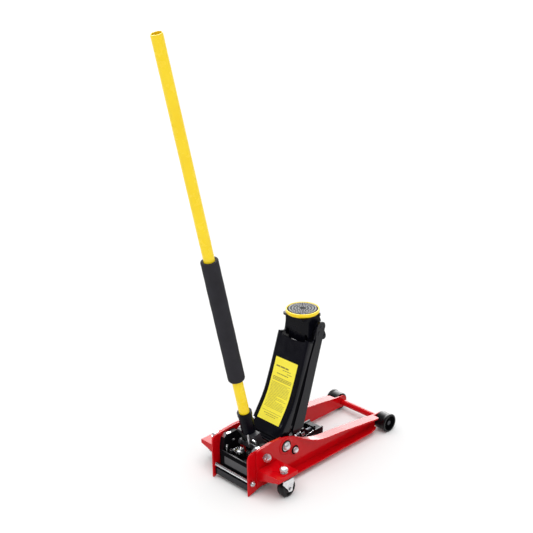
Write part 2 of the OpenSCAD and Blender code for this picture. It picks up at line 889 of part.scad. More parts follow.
module handle_yoke() {
    color(grey) chassis()
        difference() {
            union() {
                for (left = [true, false])
                    hand(left)
                        slab(leg_in, leg_out) {
                            polygon(strip([yoke_x, yoke_z], crotch, 12));
                            polygon(strip([yoke_x, yoke_z], [cam_x, cam_z], 8.5));
                            translate([yoke_x, yoke_z]) circle(14);
                            translate([cam_x, cam_z]) circle(10);
                        }
                along_handle()
                    translate([-14, 1 - leg_out, -90]) cube([28, 2 * leg_out - 2, 12]);
            }
            cross_bar(yoke_x, yoke_z, pin_r + run, -150, 150);
            along_handle() translate([0, 0, -110]) cylinder(r = 7.5, h = 60);
            cross_bar(cam_x, cam_z, 5, -150, 150);
        }
}

module pump_cam() {
    color(zinc) chassis() {
        cross_bar(cam_x, cam_z, cam_r, -leg_in, leg_in);
        cross_bar(cam_x, cam_z, 5, -leg_out - 2, leg_out + 2);
    }
}

module handle_socket() {
    color(black) chassis() along_handle()
        difference() {
            union() {
                translate([0, 0, -78]) cylinder(r = 23, h = 78);
                translate([0, 0, -12]) cylinder(r = 24.5, h = 12);
                translate([0, 0, bolt_s]) rotate([0, 90, 0]) cylinder(r = 7, h = 27);
            }
            translate([0, 0, -73]) cylinder(r = lower_r + 0.08, h = 100);
            translate([0, 0, -90]) cylinder(r = 7.5, h = 40);
            translate([0, 0, bolt_s]) rotate([0, 90, 0]) cylinder(r = 4, h = 60);
        }
}

bolt_s = -45;                     // clamp bolt's place along the socket

module socket_bolt() {
    color(zinc) chassis() along_handle()
        translate([18.2, 0, bolt_s])
            rotate([0, 90, 0]) {
                cylinder(r = 4, h = 10);
                translate([0, 0, 8.8]) cylinder(r = 6, h = 5.5, $fn = 6);
            }
}

module handle_lower() {
    color(yellow) chassis() along_handle()
        difference() {
            union() {
                translate([0, 0, -72]) cylinder(r = lower_r, h = upper_s + 72);
                translate([0, 0, 0]) cylinder(r = upper_r - 2.6, h = upper_s + 55);
            }
            translate([0, 0, -73]) cylinder(r = 12.6, h = upper_s + 200);
        }
}

module handle_upper() {
    color(yellow) chassis() along_handle()
        difference() {
            translate([0, 0, upper_s]) cylinder(r = upper_r, h = handle_len - upper_s);
            translate([0, 0, upper_s - 1]) cylinder(r = upper_r - 2.5, h = handle_len);
        }
}

module foam_grip() {
    color(foam_black) chassis() along_handle()
        translate([0, 0, 129])
            rotate_extrude()
                polygon([[lower_r + 0.05, 0], [foam_r - 3, 0], [foam_r, 4],
                    [foam_r, 434], [foam_r - 3, 438], [lower_r + 0.05, 438]]);
}

module release_shaft() {
    color(zinc) chassis() along_handle() {
        translate([0, 0, -118]) cylinder(r = 6, h = 70);
        translate([0, 0, -60]) cylinder(r = 12.6, h = 12);
    }
}

gear_teeth = 12;
gear_at = [58, 16];
gear_r = 18;

// A crown of teeth on the release valve's spindle.
module valve_gear() {
    color(zinc) chassis()
        translate([gear_at[0], gear_at[1], 0]) {
            translate([0, 0, 72]) cylinder(r = 4, h = 30);
            translate([0, 0, 97]) cylinder(r1 = 9, r2 = 14, h = 4);
            translate([0, 0, 100.5]) cylinder(r = 8, h = 4);
            for (i = [0:gear_teeth - 1])
                rotate(i * 360 / gear_teeth)
                    slab(-1.5, 1.5)
                        polygon([[6, 99], [14, 99], [gear_r, 104.5], [gear_r, 108],
                            [gear_r - 3, 107], [6, 101.5]]);
        }
}

module pump_piston() {
    top = cam_z - cam_r - 0.7;
    color(zinc) chassis()
        translate([pump_x, 0, 0]) {
            translate([0, 0, 70]) cylinder(r = 6, h = top - 70);
            translate([0, 0, top - 5]) cylinder(r = 12, h = 5);
        }
}

coil_turns = 6;
coil_r = 9.4;
wire_r = 1.1;
coil_steps = 14;

// A round wire wound from the seat to the cap, with its ends cut square.
module pump_spring() {
    z0 = seat_z + wire_r + 0.1;
    z1 = cam_z - cam_r - 5.8 - wire_r;
    n = coil_turns * coil_steps;
    m = 6;
    points = [for (i = [0:n], j = [0:m - 1])
        let (a = i * 360 / coil_steps, b = j * 360 / m, r = coil_r + wire_r * cos(b))
        [pump_x + r * cos(a), r * sin(a), z0 + (z1 - z0) * i / n + wire_r * sin(b)]];
    sides = [for (i = [0:n - 1], j = [0:m - 1])
        let (a = i * m + j, b = i * m + (j + 1) % m)
        for (t = [[a, b + m, b], [a, a + m, b + m]]) t];
    ends = concat([for (j = [1:m - 2]) [0, j, j + 1]],
        [for (j = [1:m - 2]) [n * m, n * m + j + 1, n * m + j]]);
    color(zinc) chassis() polyhedron(points, concat(sides, ends));
}

// ---------------------------------------------------------------------- nodes

side_frame(true);  // side_frame_left
side_frame(false);  // side_frame_right
rear_plate(true);  // rear_plate_left
rear_plate(false);  // rear_plate_right
caster_bracket(true);  // caster_bracket_left
caster_bracket(false);  // caster_bracket_right
front_cross_tube();
front_axle();
axle_retainers();
rear_tie_rod();
tie_rod_nuts();
rear_cross_bar();
power_unit();
rear_panel();
ram_cylinder();
gland_nut();
unit_bolts();
unit_plugs();
yoke_pin();
arm_pivot_shaft();
pivot_nuts();
pivot_spacers();
anchor_bolts();
king_pins();
arm_cover();
arm_side(true);  // arm_side_left
arm_side(false);  // arm_side_right
arm_label();
pivot_tube();
tip_pin();
tip_spacers();
level_rod(true);  // level_rod_left
level_rod(false);  // level_rod_right
saddle_bracket();
link_pin();
saddle_cup();
saddle_pad();
ram_rod();
crosshead();
pull_bar(true);  // pull_bar_left
pull_bar(false);  // pull_bar_right
handle_yoke();
handle_socket();
socket_bolt();
pump_cam();
handle_lower();
handle_upper();
foam_grip();
release_shaft();
valve_gear();
pump_piston();
pump_spring();
front_roller(true);  // front_roller_left
front_roller(false);  // front_roller_right
caster_fork(true);  // caster_fork_left
caster_fork(false);  // caster_fork_right
caster_wheel(true);  // caster_wheel_left
caster_wheel(false);  // caster_wheel_right
caster_axle(true);  // caster_axle_left
caster_axle(false);  // caster_axle_right
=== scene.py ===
import json
import math
import random

import bmesh
import bpy
from mathutils import Matrix, Vector


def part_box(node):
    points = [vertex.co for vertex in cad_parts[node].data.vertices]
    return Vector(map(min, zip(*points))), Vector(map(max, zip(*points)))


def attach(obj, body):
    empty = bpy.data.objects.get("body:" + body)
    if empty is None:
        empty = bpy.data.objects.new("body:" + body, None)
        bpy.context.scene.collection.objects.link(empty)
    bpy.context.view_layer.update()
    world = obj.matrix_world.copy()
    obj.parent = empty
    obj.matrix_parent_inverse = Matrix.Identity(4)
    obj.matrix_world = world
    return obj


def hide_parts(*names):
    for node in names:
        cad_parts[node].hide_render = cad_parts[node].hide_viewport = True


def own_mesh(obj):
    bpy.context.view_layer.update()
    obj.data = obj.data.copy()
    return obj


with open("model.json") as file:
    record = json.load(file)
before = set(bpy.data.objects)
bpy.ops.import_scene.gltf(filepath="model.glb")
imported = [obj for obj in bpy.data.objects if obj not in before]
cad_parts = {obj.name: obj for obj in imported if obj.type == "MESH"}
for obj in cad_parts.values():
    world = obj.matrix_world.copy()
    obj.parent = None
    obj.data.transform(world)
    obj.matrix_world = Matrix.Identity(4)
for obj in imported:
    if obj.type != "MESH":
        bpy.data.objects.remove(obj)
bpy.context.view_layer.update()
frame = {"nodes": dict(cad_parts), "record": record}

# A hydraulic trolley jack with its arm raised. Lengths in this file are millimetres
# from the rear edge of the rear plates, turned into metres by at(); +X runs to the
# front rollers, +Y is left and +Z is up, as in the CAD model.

MM = 0.001
REAR_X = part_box("rear_plate_left")[0].x
NODES = frame["nodes"]

# Shared points of the jack, in mm. The first six are (x, z), the last is (x, y).
ARM_PIVOT = (165, 121)
ROD_ANCHOR = (206, 91)
CHEEK_BOLT = (79, 113)
ARM_EAR = (353, 477)
TIE_ROD = (14, 46)
KING_PIN = (84, 163)

SIDE = {"left": 1, "right": -1}
WEB_OUT = 92         # outer face of a side frame, from the middle plane
NEAR_AXIS = 0.01     # radius at which a turned profile starts and ends
UP = (0, 0, 1)


def at(x, y, z):
    """A chassis point in mm as a point of the row frame in metres."""
    return Vector((REAR_X + x * MM, y * MM, z * MM))


# ---------------------------------------------------------------- materials

NOISE_ENDS = (0.3, 0.7)            # the part of a noise's range that is in use


def new_material(name):
    """A new material, its node tree and its shader."""
    mat = bpy.data.materials.new(name)
    mat.use_nodes = True
    return mat, mat.node_tree, mat.node_tree.nodes["Principled BSDF"]


def noise(tree, scale, detail):
    """Noise over the object's own coordinates, which ride with the piece."""
    coords = tree.nodes.new("ShaderNodeTexCoord")
    tex = tree.nodes.new("ShaderNodeTexNoise")
    tex.inputs["Scale"].default_value = scale
    tex.inputs["Detail"].default_value = detail
    tree.links.new(coords.outputs["Object"], tex.inputs["Vector"])
    return tex


def tint(tree, shader, texture, dark, light, ends=NOISE_ENDS):
    """Colours the shader from dark to light over a texture's factor."""
    node = tree.nodes.new("ShaderNodeValToRGB")
    for element, place, colour in zip(node.color_ramp.elements, ends, (dark, light)):
        element.position = place
        element.color = (*colour, 1)
    tree.links.new(texture.outputs["Fac"], node.inputs["Fac"])
    tree.links.new(node.outputs["Color"], shader.inputs["Base Color"])


def gloss(tree, shader, texture, low, high):
    """Gives the shader a roughness from low to high over a texture's factor."""
    node = tree.nodes.new("ShaderNodeMapRange")
    node.inputs["From Min"].default_value = NOISE_ENDS[0]
    node.inputs["From Max"].default_value = NOISE_ENDS[1]
    node.inputs["To Min"].default_value = low
    node.inputs["To Max"].default_value = high
    tree.links.new(texture.outputs["Fac"], node.inputs["Value"])
    tree.links.new(node.outputs["Result"], shader.inputs["Roughness"])


def bump(tree, shader, texture, strength, depth):
    """Feeds a texture's factor to the shader as relief of a depth in metres."""
    node = tree.nodes.new("ShaderNodeBump")
    node.inputs["Strength"].default_value = strength
    node.inputs["Distance"].default_value = depth
    tree.links.new(texture.outputs["Fac"], node.inputs["Height"])
    tree.links.new(node.outputs["Normal"], shader.inputs["Normal"])


def enamel(name, dark, light, rough=(0.10, 0.2), shine=0.25, peel=0.00003):
    """Sprayed gloss paint: cloudy colour, uneven gloss and a little orange peel."""
    mat, tree, shader = new_material(name)
    shader.inputs["Specular IOR Level"].default_value = shine
    tint(tree, shader, noise(tree, 9, 4), dark, light)
    gloss(tree, shader, noise(tree, 35, 5), *rough)
    bump(tree, shader, noise(tree, 420, 2), 0.25, peel)
    return mat


def plated(name, dark, light, rough):
    """Plated or bare steel with a fine grain."""
    mat, tree, shader = new_material(name)
    shader.inputs["Metallic"].default_value = 1.0
    tint(tree, shader, noise(tree, 60, 5), dark, light)
    grain = noise(tree, 700, 3)
    gloss(tree, shader, grain, *rough)
    bump(tree, shader, grain, 0.2, 0.00002)
    return mat


def matt(name, dark, light, rough, scale, depth, specular=0.4):
    """A moulded or cast surface with a grain of its own."""
    mat, tree, shader = new_material(name)
    shader.inputs["Specular IOR Level"].default_value = specular
    cloud = noise(tree, 25, 4)
    tint(tree, shader, cloud, dark, light)
    gloss(tree, shader, cloud, *rough)
    bump(tree, shader, noise(tree, scale, 4), 0.6, depth)
    return mat


# Each finish gives its dark and light colour, then its range of roughness.
RED = enamel("red_enamel", (0.50, 0.0015, 0.004), (0.58, 0.002, 0.006), shine=0.2)
BLACK = enamel("black_enamel", (0.002, 0.002, 0.004), (0.005, 0.005, 0.009), (0.14, 0.24))
DEEP = enamel("deep_black", (0.002, 0.002, 0.004), (0.005, 0.005, 0.009), (0.2, 0.3), 0.07)
YELLOW = enamel("yellow_enamel", (0.95, 0.66, 0.012), (0.99, 0.73, 0.020), (0.2, 0.3), 0.3)
FILM = enamel("label_film", (0.94, 0.80, 0.05), (0.98, 0.87, 0.07), (0.3, 0.42), 0.3, 0.00001)

STEEL = plated("dark_steel", (0.035, 0.035, 0.04), (0.07, 0.07, 0.08), (0.3, 0.45))
ZINC = plated("zinc_plate", (0.62, 0.63, 0.65), (0.82, 0.83, 0.84), (0.16, 0.32))
BRIGHT = plated("bright_zinc", (0.78, 0.79, 0.82), (0.92, 0.92, 0.94), (0.34, 0.48))

CAST = matt("black_casting", (0.002, 0.002, 0.003), (0.004, 0.004, 0.006), (0.35, 0.5),
            scale=500, depth=0.0002, specular=0.12)
FOAM = matt("foam_rubber", (0.016, 0.015, 0.019), (0.026, 0.025, 0.031), (0.75, 0.9),
            scale=900, depth=0.0006, specular=0.25)
PLASTIC = matt("black_plastic", (0.003, 0.003, 0.004), (0.006, 0.006, 0.007), (0.22, 0.35),
               scale=650, depth=0.00006, specular=0.22)
RUBBER = matt("pad_rubber", (0.010, 0.010, 0.012), (0.018, 0.018, 0.021), (0.07, 0.14),
              scale=600, depth=0.00001, specular=0.9)
# Grey for the tops of the pad's black rubber teeth: a painted highlight.
PAD_TOP_HIGHLIGHT = matt("pad_tread_painted_highlight", (0.24, 0.24, 0.26), (0.32, 0.32, 0.34), (0.07, 0.14),
             scale=600, depth=0.00001, specular=0.9)
SATIN = matt("satin_paint", (0.022, 0.022, 0.026), (0.035, 0.035, 0.040), (0.3, 0.42),
             scale=500, depth=0.00008, specular=0.5)
# Dull black for dark fittings and the pad, also used for the painted shade strips in the arm's
# grooves.
DULL_BLACK_AND_SHADE = matt("dull_black_and_painted_shade", (0.002, 0.002, 0.003), (0.004, 0.004, 0.005), (0.8, 0.95),
            scale=400, depth=0.0001, specular=0.05)
INK = matt("label_ink", (0.20, 0.16, 0.03), (0.26, 0.21, 0.045), (0.4, 0.5),
           scale=400, depth=0.00001)

BY_SLOT = {
    "red_paint": RED,
    "black_paint": BLACK,
    "yellow_paint": YELLOW,
    "cast_black": CAST,
    "grey_steel": STEEL,
    "zinc_steel": ZINC,
    "foam": FOAM,
    "black_plastic": PLASTIC,
    "label_film": FILM,
    "pad_rubber": RUBBER,
}
SLOT_OF = {part["node"]: part["material_slot"] for part in frame["record"]["subparts"]}


def soften(obj, width, angle=32):
    """Rounds the sharp edges of a piece and keeps its flat faces flat."""
    weld = obj.modifiers.new("weld", "WELD")
    weld.merge_threshold = 0.02 * MM
    bevel = obj.modifiers.new("edges", "BEVEL")
    bevel.width = width * MM
    bevel.segments = 3
    bevel.limit_method = "ANGLE"
    bevel.angle_limit = math.radians(angle)
    bevel.harden_normals = False
    for face in obj.data.polygons:
        face.use_smooth = True
    weighted = obj.modifiers.new("normals", "WEIGHTED_NORMAL")
    weighted.keep_sharp = False
    weighted.weight = 100


# Rounding of the edges in mm. Pieces that aren't listed get SMALL_EDGE.
EDGE = {
    "side_frame_left": 1.6, "side_frame_right": 1.6,
    "rear_plate_left": 1.2, "rear_plate_right": 1.2,
    "caster_bracket_left": 2.0, "caster_bracket_right": 2.0,
    "saddle_bracket": 1.2, "power_unit": 1.2, "handle_yoke": 1.5,
    "arm_side_left": 1.0, "arm_side_right": 1.0,
    "arm_cover": 0.8,
}
SMALL_EDGE = 0.35

# Pieces whose finish differs from the one of their material slot.
OWN_FINISH = {"handle_yoke": SATIN, "rear_panel": SATIN, "saddle_bracket": DEEP,
              "handle_socket": DEEP, "axle_retainers": DULL_BLACK_AND_SHADE, "pump_piston": STEEL}

for name, node in NODES.items():
    node.data.materials.clear()
    node.data.materials.append(OWN_FINISH.get(name, BY_SLOT[SLOT_OF[name]]))
    soften(node, EDGE.get(name, SMALL_EDGE))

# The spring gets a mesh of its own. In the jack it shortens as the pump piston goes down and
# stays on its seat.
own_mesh(NODES["pump_spring"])


# ------------------------------------------------------------- mesh helpers


def finish_piece(name, bm, material, body, smooth=True):
    """Turns a bmesh in row-frame metres into a piece that rides on a body."""
    bmesh.ops.remove_doubles(bm, verts=bm.verts, dist=0.005 * MM)
    bmesh.ops.recalc_face_normals(bm, faces=bm.faces)
    mesh = bpy.data.meshes.new(name)
    bm.to_mesh(mesh)
    bm.free()
    for face in mesh.polygons:
        face.use_smooth = smooth
    mesh.materials.append(material)
    obj = bpy.data.objects.new(name, mesh)
    bpy.context.scene.collection.objects.link(obj)
    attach(obj, body)
    return obj


def basis(origin, axis, side=None):
    """A frame with local z along axis and its origin at a point in metres."""
    z = Vector(axis).normalized()
    x = Vector(side) if side else z.orthogonal()
    x = (x - z * x.dot(z)).normalized()
    y = z.cross(x)
    turn = Matrix((x, y, z)).transposed().to_4x4()
    return Matrix.Translation(origin) @ turn


def join_loops(bm, a, b):
    """Faces between two closed loops with the same number of corners."""
    n = len(a)
    for j in range(n):
        bm.faces.new([a[j], a[(j + 1) % n], b[(j + 1) % n], b[j]])


def lathe(bm, place, profile, steps):
    """Turns a profile of [radius, height] in mm about the local z axis."""
    loops = []
    for k in range(steps):
        a = 2 * math.pi * k / steps
        loops.append([bm.verts.new(place @ Vector((r * math.cos(a), r * math.sin(a), h)))
                      for r, h in [(p[0] * MM, p[1] * MM) for p in profile]])
    for k in range(steps):
        join_loops(bm, loops[k], loops[(k + 1) % steps])


def prism(bm, place, outline, z0, z1):
    """Extrudes an outline of [x, y] in mm between two local heights."""
    low = [bm.verts.new(place @ Vector((x * MM, y * MM, z0 * MM))) for x, y in outline]
    high = [bm.verts.new(place @ Vector((x * MM, y * MM, z1 * MM))) for x, y in outline]
    bm.faces.new(low[::-1])
    bm.faces.new(high)
    join_loops(bm, low, high)


def tube(bm, points, radius, sides):
    """A round wire through points in mm, with closed ends."""
    path = [at(*p) for p in points]
    r = radius * MM
    loops = []
    for i, p in enumerate(path):
        a, b = path[max(i - 1, 0)], path[min(i + 1, len(path) - 1)]
        place = basis(p, b - a, (0.3, 1, 0.2))
        loops.append([bm.verts.new(place @ Vector((r * math.cos(t), r * math.sin(t), 0)))
                      for t in [2 * math.pi * k / sides for k in range(sides)]])
    for a, b in zip(loops, loops[1:]):
        join_loops(bm, a, b)
    bm.faces.new(loops[0][::-1])
    bm.faces.new(loops[-1])


def box_mm(bm, x0, x1, y0, y1, z0, z1):
    """A box between chassis coordinates in mm."""
    place = Matrix.Translation(at(0, 0, 0))
    prism(bm, place, [[x0, y0], [x1, y0], [x1, y1], [x0, y1]], z0, z1)


# -------------------------------------------------------------- saddle pad

SADDLE_LOW, SADDLE_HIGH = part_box("saddle_cup")
SADDLE_MID = (SADDLE_LOW + SADDLE_HIGH) / 2
PAD_LOW, PAD_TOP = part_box("saddle_pad")
PAD_R = (PAD_TOP.x - PAD_LOW.x) / 2 / MM
GROOVE = -2.6                      # bottom of the pad's grooves, below its top
ROOT = GROOVE - 0.4                # how far the teeth and the disc reach down
DISC_R = 7.4
FIRST_RING = 11.6                  # inner radius of the first ring of teeth
RING_PITCH, RING_LAND = 9.7, 5.7
RING_TEETH = (12, 16, 32, 32)
TOOTH_SHARE = 0.24                 # half a tooth's width as a share of its pitch
CHAMFER = 0.35                     # a tooth's top is this much smaller each side


def tooth(bm, place, inner, outer, a0, a1):
    """One block of a ring, with a smaller top than foot."""
    def corner(r, a, h):
        return bm.verts.new(place @ Vector((r * MM * math.cos(a), r * MM * math.sin(a), h * MM)))

    def block(r0, r1, b0, b1, h):
        return [corner(r, a, h) for r, a in ((r0, b0), (r1, b0), (r1, b1), (r0, b1))]

    turn = CHAMFER / inner
    foot = block(inner, outer, a0, a1, ROOT)
    top = block(inner + CHAMFER, outer - CHAMFER, a0 + turn, a1 - turn, 0)
    bm.faces.new(foot[::-1])
    bm.faces.new(top)
    join_loops(bm, foot, top)


def paint_tread_highlight(pad):
    """Paints the tops of the teeth grey, a painted highlight of the light they catch; grooves
    and disc stay black.
    """
    pad.data.materials.append(PAD_TOP_HIGHLIGHT)
    for face in pad.data.polygons:
        corners = [pad.matrix_world @ pad.data.vertices[i].co for i in face.vertices]
        on_top = min(c.z for c in corners) > PAD_TOP.z - 0.1 * MM
        off_middle = max((c - SADDLE_MID).xy.length for c in corners) > 10 * MM
        if on_top and off_middle:
            face.material_index = 1


def saddle_pad():
    """A rubber pad with rings of radial teeth round a small centre disc."""
    bm = bmesh.new()
    place = Matrix.Translation((SADDLE_MID.x, SADDLE_MID.y, PAD_TOP.z))
    depth = (PAD_TOP.z - PAD_LOW.z) / MM
    lathe(bm, place, [[NEAR_AXIS, GROOVE], [PAD_R - 0.6, GROOVE], [PAD_R, GROOVE - 0.6],
                      [PAD_R, -depth], [NEAR_AXIS, -depth]], 96)
    lathe(bm, place, [[NEAR_AXIS, 0], [DISC_R - 0.6, 0], [DISC_R - 0.1, -0.5],
                      [DISC_R, ROOT], [NEAR_AXIS, ROOT]], 32)
    for ring, count in enumerate(RING_TEETH):
        inner = FIRST_RING + ring * RING_PITCH
        half = TOOTH_SHARE * 2 * math.pi / count
        for k in range(count):
            middle = 2 * math.pi * (k + 0.5) / count
            tooth(bm, place, inner, inner + RING_LAND, middle - half, middle + half)
    pad = finish_piece("saddle_pad_ribbed", bm, DULL_BLACK_AND_SHADE, "saddle", False)
    paint_tread_highlight(pad)
    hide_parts("saddle_pad")


saddle_pad()

# --------------------------------------------------------------- foam grip

HANDLE_LEAN = math.radians(12.755)
HANDLE_UP = Vector((-math.sin(HANDLE_LEAN), 0, math.cos(HANDLE_LEAN)))
SOCKET = at(69, 0, 250)


def along_handle(s):
    """A frame on the handle axis, s mm above the socket mouth."""
    return basis(SOCKET + HANDLE_UP * s * MM, HANDLE_UP, (0, 1, 0))


def foam_grip():
    """A foam sleeve, cut square above and rounded below, a little uneven."""
    bm = bmesh.new()
    random.seed(4)
    start, length, outer, inner = 129, 438, 27.6, 17.7
    profile = [[inner, 0], [inner + 4, 0]]
    arc = 7
    for k in range(1, arc + 1):
        a = math.radians(90 * k / arc)
        profile.append([outer - 6 + 6 * math.sin(a), 7 - 7 * math.cos(a)])
    steps = 60
    for k in range(1, steps):
        s = 7 + (length - 9) * k / steps
        wave = 0.18 * math.sin(s / 23.0) + 0.12 * math.sin(s / 9.0 + 1)
        wave += random.uniform(-0.05, 0.05)
        profile.append([outer + wave, s])
    profile += [[outer, length - 1.6], [outer - 0.8, length],
                [inner + 0.6, length], [inner, length - 1]]
    lathe(bm, along_handle(start), profile, 72)
    grip = finish_piece("foam_sleeve", bm, FOAM, "handle")
    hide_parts("foam_grip")


foam_grip()

# ------------------------------------------------------------------ label

# The bent line of the label's face in x and z, from its lower edge upwards.
LABEL_LINE = [(173, 172.6), (196, 206), (211, 229), (223, 251), (232, 272), (249, 316),
              (266, 363.5)]
LABEL_OUT = Vector((-0.93, 0.42))
INK_LIFT = 0.83                    # the label's thickness and a film of ink


def on_label(u, y):
    """A point of the print, u mm up the label from its lower edge."""
    line = [Vector(p) for p in LABEL_LINE]
    for a, b in zip(line, line[1:]):
        span = (b - a).length
        if u <= span or b is line[-1]:
            p = a + (b - a) * (u / span)
            break
        u -= span
    out = LABEL_OUT * INK_LIFT
    return at(p.x + out.x, y, p.y + out.y)


def print_bar(bm, u0, u1, y0, y1):
    """A printed bar: a thin strip that follows the bent label."""
    steps = max(1, round((u1 - u0) / 6))
    rows = []
    for k in range(steps + 1):
        u = u0 + (u1 - u0) * k / steps
        rows.append([bm.verts.new(on_label(u, y)) for y in (y0, y1)])
    for a, b in zip(rows, rows[1:]):
        bm.faces.new([a[0], a[1], b[1], b[0]])


def label_print():
    """Rows of plain bars of random length, with no letters in them."""
    random.seed(11)
    bm = bmesh.new()

    def row(u, height, y_from, y_to, gap):
        """One line of words, from left to right as it is read."""
        y = y_from
        while y > y_to:
            word = random.uniform(3, 9) * height / 1.6
            end = max(y - word, y_to)
            print_bar(bm, u, u + height, end, y)
            y = end - gap

    row(183, 5.0, 40, -16, 2.0)
    row(176, 2.2, 8, -30, 1.6)
    row(168, 2.0, -14, -36, 1.2)
    row(160, 2.8, 30, -22, 1.4)
    for k in range(3):
        row(147 - 4.6 * k, 2.2, 42, -42, 1.2)
    for k in range(20):
        row(129 - 4.4 * k, 1.3, 42, random.choice([-42, -42, -30, 4]), 1.0)
    print_bar(bm, 32, 33, -44, 44)
    row(24, 1.8, 30, -34, 1.4)
    row(18, 1.8, 20, -24, 1.4)
    finish_piece("label_print", bm, INK, "arm")


label_print()

# ------------------------------------------------------------ threaded rod


def threaded_rod():
    """The tie rod as studding: a row of ridges from end to end."""
    bm = bmesh.new()
    radius, pitch, half = 6.0, 2.0, 95.0
    profile = [[NEAR_AXIS, -half], [radius - 0.8, -half]]
    ridges = round(2 * (half - 1) / pitch)
    for k in range(ridges):
        y = -half + 1 + pitch * k
        profile += [[radius - 0.75, y], [radius, y + 0.7 * pitch / 2],
                    [radius, y + 1.1 * pitch / 2]]
    profile += [[radius - 0.8, half], [NEAR_AXIS, half]]
    lathe(bm, basis(at(TIE_ROD[0], 0, TIE_ROD[1]), (0, 1, 0)), profile, 24)
    rod = finish_piece("tie_rod_threaded", bm, ZINC, "chassis", False)
    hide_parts("rear_tie_rod")


threaded_rod()

# ------------------------------------------------------- bolts and fittings


def side_plate(bm, outline, hand, y0, y1):
    """A flat plate drawn in chassis X and Z, from y0 to y1 away from the middle."""
    sign = SIDE[hand]
    place = basis(at(0, 0, 0), (0, -1, 0), (1, 0, 0))
    low, high = sorted((-sign * y0, -sign * y1))
    prism(bm, place, outline, low, high)


def turned(bm, point, axis, profile, steps):
    """A turned part whose profile of [radius, height] starts at a chassis point."""
    lathe(bm, basis(at(*point), axis), profile, steps)


def on_side(bm, spot, y, sign, profile, steps):
    """A turned part that points outwards, on a spot (x, z) at y from the middle."""
    turned(bm, (spot[0], sign * y, spot[1]), (0, sign, 0), profile, steps)


def pin(radius, height):
    """The profile of a plain pin with flat ends."""
    return [[NEAR_AXIS, 0], [radius, 0], [radius, height], [NEAR_AXIS, height]]


def dome(radius, height, base=0.0):
    """The profile of a domed head."""
    steps = 6
    curve = [[radius * math.cos(a), base + height * math.sin(a)]
             for a in [math.pi / 2 * k / steps for k in range(steps)]]
    return [[NEAR_AXIS, base - 0.5], [radius, base - 0.5], *curve, [NEAR_AXIS, base + height]]


def ring(inner, outer, height):
    """The profile of a washer with its outer top edge bevelled."""
    return [[inner, 0], [outer, 0], [outer, height * 0.6], [outer - height * 0.4, height],
            [inner, height]]


def frame_fittings():
    """Raised bosses, dark washers and domed caps on the outside of the frames."""
    bosses, rings, caps = bmesh.new(), bmesh.new(), bmesh.new()
    for sign in SIDE.values():
        on_side(bosses, ARM_PIVOT, WEB_OUT - 0.3, sign, ring(15, 30, 2.2), 48)
        on_side(bosses, ROD_ANCHOR, WEB_OUT - 0.3, sign, ring(12.5, 19, 1.6), 40)
        on_side(rings, ARM_PIVOT, WEB_OUT + 0.2, sign, ring(14, 21, 2.6), 40)
        on_side(rings, ROD_ANCHOR, WEB_OUT + 0.2, sign, ring(11, 16, 2.2), 36)
        on_side(caps, ARM_PIVOT, WEB_OUT + 4, sign, dome(13.6, 10), 40)
        on_side(caps, ROD_ANCHOR, WEB_OUT + 2.5, sign, dome(11, 9), 36)
        on_side(caps, CHEEK_BOLT, WEB_OUT - 0.2, sign, dome(15, 14), 40)
    finish_piece("pivot_bosses", bosses, RED, "chassis")
    finish_piece("nut_rings", rings, DULL_BLACK_AND_SHADE, "chassis")
    finish_piece("nut_caps", caps, BRIGHT, "chassis")


def king_caps():
    """The caster bolts: a round neck and a broad domed head."""
    bm = bmesh.new()
    profile = [[NEAR_AXIS, 0], [10, 0], [10, 8], [13, 8.6], [13.6, 10.5], [13, 14],
               [10, 17], [5, 18.4], [NEAR_AXIS, 18.8]]
    bracket_top = 88.1
    for sign in SIDE.values():
        turned(bm, (KING_PIN[0], sign * KING_PIN[1], bracket_top), UP, profile, 36)
    finish_piece("king_caps", bm, BRIGHT, "chassis")


def groove_shadow():
    """A matt black strip in the recess beside each raised rib of the arm: painted shade."""
    groove = [[225, 165], [268.2, 273], [299.6, 374], [322, 431], [303, 431], [283.5, 374],
              [251.5, 279], [207, 167]]
    bm = bmesh.new()
    for hand in SIDE:
        side_plate(bm, groove, hand, 67.6, 68.3)
    finish_piece("groove_painted_shade", bm, DULL_BLACK_AND_SHADE, "arm", False)


def arm_rivets():
    """A small riveted pin in each ear of the arm."""
    bm = bmesh.new()
    for sign in SIDE.values():
        on_side(bm, ARM_EAR, 71.8, sign, ring(4.6, 6.4, 1.4), 28)
        on_side(bm, ARM_EAR, 71.8, sign, dome(3.2, 1.6, 0.4), 20)
    finish_piece("arm_rivets", bm, STEEL, "arm")


def bolt_sleeves():
    """Dark sleeves on the anchor bolts between the arm and the frames."""
    bm = bmesh.new()
    bore, outer, length = 6.05, 7.6, 11
    profile = [[bore, 0], [outer, 0], [outer, length], [bore, length]]
    for sign in SIDE.values():
        on_side(bm, ROD_ANCHOR, 75.5, sign, profile, 28)
    finish_piece("anchor_sleeves", bm, DULL_BLACK_AND_SHADE, "chassis")


